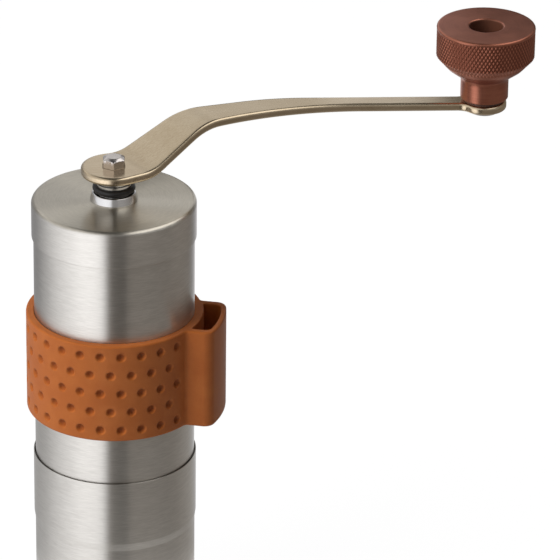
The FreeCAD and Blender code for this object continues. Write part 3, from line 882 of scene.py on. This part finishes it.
def add_hexagon(mesh, corner, turn, low, high, low_edge, high_edge):
    """Add a closed hexagon bar with softened corners and turned-off ends."""
    corner_edge = 0.15 * MM
    point_step = 0.35 * MM
    wall_rows = 8
    chamfer_rows = 5
    inner_share = 0.9
    outline = spaced(rounded(hexagon(corner, turn, corner_edge), 4), point_step)
    wall_low = low + low_edge / 2
    wall_high = high - high_edge
    rows = [(low, low_edge)] if low_edge else []
    for k in range(wall_rows + 1):
        rows.append((wall_low + (wall_high - wall_low) * k / wall_rows, 0.0))
    for k in range(1, chamfer_rows + 1):
        share = k / chamfer_rows
        rows.append((high - high_edge * (1 - share), high_edge * share))
    rings = []
    for height, cut in rows:
        limit = corner - 2 * cut
        ring = []
        for p in outline:
            scale = min(1.0, limit / p.length)
            ring.append(mesh.verts.new((p.x * scale, p.y * scale, height)))
        rings.append(ring)
    for lower, upper in zip(rings, rings[1:]):
        join_rings(mesh, lower, upper)
    # A ring just inside the end's edge keeps its shading flat.
    inner = []
    for vert in rings[-1]:
        inner.append(mesh.verts.new((vert.co.x * inner_share, vert.co.y * inner_share, vert.co.z)))
    join_rings(mesh, rings[-1], inner)
    for ring in (rings[0], inner):
        join_rings(mesh, ring, [mesh.verts.new((0, 0, ring[0].co.z))])


def make_knob():
    """Turned knob, knurled round its grip and down its lower slope."""
    neck = 7.0 * MM
    neck_height = 6.5 * MM
    throat = 2.0 * MM
    cone = 11.2 * MM
    cone_height = 3.5 * MM
    cone_edge = 0.35 * MM
    bore = 4.1 * MM
    foot_edge = 0.3 * MM
    top_edge = 0.6 * MM
    hole_edge = 0.5 * MM
    top_margin = 0.75 * MM
    knurl_start = 1.1 * MM
    knurl_stop = 0.7 * MM
    slope_rows = 16
    grip_rows = 48
    bottom = knob_low.z
    top = knob_high.z
    floor = top - knob_hole_depth
    grip_low = top - knob_grip_height
    cone_low = grip_low - cone_height
    corners = [
        (bore, bottom, 0),
        (neck, bottom, foot_edge),
        (neck, bottom + neck_height, throat),
        (cone, cone_low, cone_edge),
    ]
    for k in range(1, slope_rows):
        share = k / slope_rows
        corners.append((cone + (knob_radius - cone) * share, cone_low + cone_height * share, 0))
    for k in range(grip_rows):
        corners.append((knob_radius, grip_low + (knob_grip_height - top_margin) * k / grip_rows, 0))
    corners += [
        (knob_radius, top, top_edge),
        (knob_hole_radius, top, hole_edge),
        (knob_hole_radius, floor, foot_edge),
        (bore, floor, 0),
    ]
    mesh = turned(corners, (knob_axis.x, knob_axis.y), segments=800, steps=5)
    made = make_object("knob_grip", mesh, knob_brown, sharp=50)
    shape_by_tree(made, knurl_tree(), {
        "Centre X": knob_axis.x, "Centre Y": knob_axis.y, "Grip Radius": knob_radius,
        "Low": cone_low + knurl_start, "High": top - knurl_stop, "Ridges": 80.0,
        "Diamond Height": 1.9 * MM, "Groove Depth": 0.34 * MM})
    stand_for(made, "knob", "knob_aluminium", "knob")


def arched_end(side, radius, corner, step):
    """Outer end of the pocket: two rounded corners and a face arched about the axis between them."""
    x = math.sqrt((radius - corner) ** 2 - (side - corner) ** 2)
    turn = math.atan2(side - corner, x)
    points = arc((x, corner - side), corner, -math.pi / 2, -turn, step)
    points += arc((0, 0), radius, -turn, turn, step)[1:-1]
    points += arc((x, side - corner), corner, turn, math.pi / 2, step)
    return points


def make_band():
    """Silicone sleeve with rows of dimples and a through pocket for the crank."""
    slot_set = 0.3 * MM
    pocket_wall = 1.6 * MM
    side_wall = 2.3 * MM
    half = 8.5 * MM
    corner = 3.2 * MM
    slot_corner = 1.6 * MM
    slot_lip = 0.4 * MM
    root = 1.4 * MM
    rim_edge = 0.6 * MM
    bore_edge = 0.25 * MM
    slot_edge = 0.4 * MM
    step = 0.25 * MM
    bore_step = 0.5 * MM
    coarse = 0.6 * MM
    outer = -band_low.x
    inner = tube_radius + slip
    far = band_high.x
    side = half + side_wall
    slot_in = outer + slot_set
    slot_out = far - pocket_wall
    touch = math.asin((side + root) / (outer + root))
    centre = (outer + root) * math.cos(touch)
    outline = arc((0, 0), outer, touch, 2 * math.pi - touch, step)
    outline += arc((centre, -side - root), root, math.pi - touch, math.pi / 2, step)[1:]
    outline += arched_end(side, far, corner, step)
    outline += arc((centre, side + root), root, -math.pi / 2, touch - math.pi, step)[:-1]
    outline = spaced(outline, coarse)
    bore = list(reversed(arc((0, 0), inner, 0, 2 * math.pi, bore_step)[:-1]))
    lip = math.asin(half / slot_in)
    pocket = [(slot_in * math.cos(lip), -half, slot_lip)]
    pocket += [(p.x, p.y, 0) for p in arched_end(half, slot_out, slot_corner, coarse)]
    pocket += [(slot_in * math.cos(lip), half, slot_lip)]
    spans = 12
    for k in range(1, spans):
        angle = lip - 2 * lip * k / spans
        pocket.append((slot_in * math.cos(angle), slot_in * math.sin(angle), 0))
    pocket = list(reversed(spaced(rounded(pocket, 5), coarse)))
    low, high = band_low.z, band_high.z
    mesh = plate([
        (outline, edge_rows(rim_edge, low, high, levels=116)),
        (bore, edge_rows(bore_edge, low, high, levels=2, steps=3)),
        (pocket, edge_rows(slot_edge, low, high, levels=12, steps=4)),
    ])
    made = make_object("band_sleeve", mesh, band_tan, sharp=40)
    shape_by_tree(made, dimple_tree(), {
        "Outside Radius": outer, "Middle Height": (low + high) / 2,
        "Row Pitch": 5.9 * MM, "Rows": 5.0,
        "Start": math.radians(31.1), "Pitch": math.radians(13.45), "Columns": 23.0,
        "Pit Radius": 1.32 * MM, "Pit Depth": 1.05 * MM})
    stand_for(made, "band", "band_silicone", "grip_band")


def make_spindle():
    """Riveted spindle: domed head under the arm and a retaining head down in the knob."""
    rivet = 4.6 * MM
    dome = 0.7 * MM
    pin = 2.98 * MM
    head = 4.43 * MM
    head_height = 2.0 * MM
    head_edge = 0.8 * MM
    sharp_edge = 0.1 * MM
    under = arm_high.z - arm_thickness
    head_low = rivet_high.z - head_height
    mesh = turned([
        (0, rivet_low.z, 0),
        (rivet, rivet_low.z, dome),
        (rivet, under, sharp_edge),
        (pin, under, 0),
        (pin, head_low, 0),
        (head, head_low, sharp_edge),
        (head, rivet_high.z, head_edge),
        (0, rivet_high.z, 0),
    ], (knob_axis.x, knob_axis.y), segments=72)
    stand_for(make_object("knob_rivet", mesh, shaft_steel), "crank", "shaft_steel", "knob_spindle")


make_cup()
make_tube()
make_lid()
make_collar()
make_hub()
make_arm()
make_shaft()
make_knob()
make_band()
make_spindle()

# Solids that show as they are, each with its finish
for node, material in {
    "burr_housing": housing_plastic, "burr_lock_ring": housing_plastic, "burr_carrier": housing_plastic,
    "adjuster_nut": housing_plastic, "inner_burr": burr_ceramic, "outer_burr": burr_ceramic,
    "shaft_bush": bearing_brass, "knob_bush": bearing_brass, "thrust_washer": shaft_steel,
    "burr_spring": shaft_steel, "lid_nut": shaft_steel, "knob_washer": washer_rubber_and_shade,
}.items():
    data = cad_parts[node].data
    data.materials.clear()
    data.materials.append(material)


# Stage, light and camera

camera_turn = math.radians(12.5)
panel_strength = 2.0


def seen_directly(board):
    """1 for camera, glossy and transmission rays, 0 for the rest."""
    path = board.add("ShaderNodeLightPath", output="Is Camera Ray")
    glossy = board.also(path, "Is Glossy Ray")
    clear = board.also(path, "Is Transmission Ray")
    return board.math("MAXIMUM", board.math("MAXIMUM", path, glossy), clear)


def bare_board(owner):
    """Empty shader tree of a material or a world."""
    owner.use_nodes = True
    owner.node_tree.nodes.clear()
    return Board(owner.node_tree)


def show(board, shader, kind="ShaderNodeOutputMaterial"):
    """Let a shader be what its tree shows."""
    output = board.tree.nodes.new(kind)
    board.put(output.inputs["Surface"], shader)


def lay_floor():
    """Wide pale floor that shows white and keeps a faint shadow."""
    reach = 6.0
    drop = 0.1 * MM
    mesh = bmesh.new()
    corners = ((-reach, -reach), (reach, -reach), (reach, reach), (-reach, reach))
    mesh.faces.new([mesh.verts.new((x, y, -drop)) for x, y in corners])
    material = bpy.data.materials.new("studio_floor")
    board = bare_board(material)
    paper = board.add("ShaderNodeBsdfDiffuse", None, {"Color": (0.7, 0.7, 0.7, 1.0)})
    white = board.add("ShaderNodeEmission", None, {"Color": (1.0, 1.0, 1.0, 1.0), "Strength": 1.05})
    mixed = board.add("ShaderNodeMixShader", None, {0: seen_directly(board) * 0.93, 1: paper, 2: white})
    show(board, mixed)
    floor = make_object("studio_floor", mesh, material)


def hang_panel(name, profile, start, stop, tone):
    """Curved studio panel that only polished surfaces see, its light set by angle and height."""
    spans = 90
    mesh = bmesh.new()
    rings = []
    for radius, height in profile:
        rings.append([])
        for k in range(spans + 1):
            angle = camera_turn + math.radians(start + (stop - start) * k / spans)
            place = (radius * math.sin(angle), -radius * math.cos(angle), height)
            rings[-1].append(mesh.verts.new(place))
    for lower, upper in zip(rings, rings[1:]):
        for k in range(spans):
            mesh.faces.new([lower[k], lower[k + 1], upper[k + 1], upper[k]])
    material = bpy.data.materials.new(name)
    board = bare_board(material)
    x, y, z = board.split(board.place())
    angle = board.math("ARCTAN2", x, 0.0 - y) - camera_turn
    light = {"Color": tone(board, angle, z), "Strength": panel_strength}
    show(board, board.add("ShaderNodeEmission", None, light))
    panel = make_object(name, mesh, material)
    panel.visible_camera = False
    panel.visible_diffuse = False
    panel.visible_shadow = False
    panel.visible_transmission = False


def main_panel_tone(board, angle, z):
    """Bright on one side, a sharp edge in front, then dark and warm."""
    share = board.math("WRAP", angle / (2 * math.pi) + 0.5, 1.0, 0.0)
    warm = (1.0, 0.9, 0.81)
    cool = (0.99, 1.0, 1.04)
    # Degrees round from the camera's side, and how bright the panel is there.
    levels = [
        (-180, 0.8), (-168, 0.5), (-150, 0.34), (-128, 0.33), (-106, 0.62), (-88, 1.0),
        (-72, 1.28), (-58, 1.5), (-46, 1.7), (-34, 1.74), (-24, 1.7), (-17, 1.5),
        (-12, 0.95), (-7, 0.2), (0, 0.11), (14, 0.09), (20, 0.22), (40, 0.22),
        (70, 0.2), (95, 0.24), (125, 0.23), (140, 0.32), (152, 0.75), (180, 0.8)]
    stops = []
    for degrees, level in levels:
        tint = warm if -10 < degrees < 130 else cool
        colour = tuple(level / panel_strength * part for part in tint)
        stops.append((degrees / 360 + 0.5, colour + (1.0,)))
    glow = board.add("ShaderNodeValToRGB", {"stops": stops}, {0: share})
    # Near the floor the panel takes on the floor's own pale bounce, more so behind.
    turned_away = board.math("ABSOLUTE", angle)
    foot = board.smooth(z, 12 * MM, 0.0, 0.0, 0.34)
    bounce = board.smooth(turned_away, 1.4, 2.5, 0.22, 0.52)
    glow = board.blend(foot, glow, board.vector(bounce, bounce, bounce))
    # The collar looks at the upper part in front.
    above = board.smooth(z, 125 * MM, 155 * MM, 0.0, 0.5)
    in_front = board.smooth(turned_away, 1.9, 1.4)
    return board.blend(above * in_front, glow, (0.24, 0.24, 0.24, 1.0))


def flag_tone(board, angle, z):
    """Dark cloth, the same all round, that keeps the far wall off one side of a flat top."""
    level = board.smooth(z, 0.1, 0.3, 0.09, 0.06)
    return board.vector(level, level * 0.95, level * 0.88)


def hang_lamp(name, turn, lift, power):
    """Square soft lamp aimed at the grinder, placed by its angle from the camera's side."""
    distance = 1.3
    aim = Vector((0, 0, 0.1))
    lamp = bpy.data.lights.new(name, "AREA")
    lamp.size = 0.9
    lamp.energy = power
    made = bpy.data.objects.new(name, lamp)
    angle = camera_turn + math.radians(turn)
    lift = math.radians(lift)
    away = Vector((math.sin(angle) * math.cos(lift), -math.cos(angle) * math.cos(lift), math.sin(lift)))
    made.location = away * distance + aim
    made.rotation_euler = away.to_track_quat("Z", "Y").to_euler()
    made.visible_glossy = False
    made.visible_camera = False
    scene.collection.objects.link(made)


def light_room():
    """Pale room with a soft box overhead on each side, and dark between them where polished tops look."""
    world = bpy.data.worlds.new("studio_room")
    scene.world = world
    board = bare_board(world)
    x, y, z = board.split(board.add("ShaderNodeTexCoord", output="Generated"))
    aside = x * math.cos(camera_turn) + y * math.sin(camera_turn)
    overhead = board.smooth(z, 0.42, 0.7)
    walls = (1 - overhead) * board.smooth(aside, 0.5, -0.3, 0.38, 1.08) + overhead * 0.09
    right_box = board.smooth(aside, 0.14, 0.3) * board.smooth(z, 0.5, 0.75) * 1.6
    lean = aside + (z - 0.5) * 0.7
    left_box = board.smooth(lean, 0.0, -0.12) * board.smooth(z, 0.46, 0.64) * 0.55
    room = walls + right_box + left_box
    # Matte surfaces get an even, dimmer room, and the camera sees white.
    even = board.smooth(aside, 0.9, -0.9, 0.06, 0.22)
    by_camera = board.add("ShaderNodeLightPath", output="Is Camera Ray")
    tone = even + (room - even) * seen_directly(board)
    tone = tone + (1 - tone) * by_camera
    glow = board.add("ShaderNodeBackground", None, {"Color": (1.0, 1.0, 1.0, 1.0), "Strength": tone})
    show(board, glow, "ShaderNodeOutputWorld")


def place_camera():
    """Camera at the photograph's place: long lens, looking down at the lid."""
    photo_width = 560
    focal_pixels = 4828.1
    distance, lift = 1.4, 0.428
    pitch, yaw, roll = 0.44473, 0.038, 0.0125
    forward = Vector((math.sin(yaw) * math.cos(pitch), math.cos(yaw) * math.cos(pitch), -math.sin(pitch)))
    right = Vector((math.cos(yaw), -math.sin(yaw), 0))
    up = right.cross(forward)
    across = right * math.cos(roll) + up * math.sin(roll)
    upward = up * math.cos(roll) - right * math.sin(roll)
    facing = Matrix((across, upward, -forward)).transposed().to_4x4()
    stand = Matrix.Translation((0, -distance * math.cos(lift), distance * math.sin(lift)))
    lens = bpy.data.cameras.new("camera")
    lens.sensor_width = 36.0
    lens.lens = lens.sensor_width * focal_pixels / photo_width
    lens.clip_start = 0.05
    lens.clip_end = 30.0
    camera = bpy.data.objects.new("camera", lens)
    lid_top = Matrix.Translation((0, 0, lid_high.z))
    camera.matrix_world = lid_top @ Matrix.Rotation(camera_turn, 4, "Z") @ stand @ facing
    scene.collection.objects.link(camera)
    scene.camera = camera


lay_floor()
# Panels as (radius, height) profiles swept from one angle to another about the grinder
sweep = [(0.045, 0.0015), (0.19, 0.0015), (0.2, 0.01), (0.2, 0.25)]
hang_panel("studio_panel", sweep, -176, 158, main_panel_tone)
hang_panel("lid_flag", [(0.199, 0.12), (0.199, 0.215)], 160, 179, flag_tone)
hang_panel("knob_flag", [(0.199, 0.19), (0.199, 0.25)], 122, 147.5, flag_tone)
light_room()
hang_lamp("key_lamp", -62, 42, 17.0)
hang_lamp("top_lamp", 140, 70, 1.5)
place_camera()
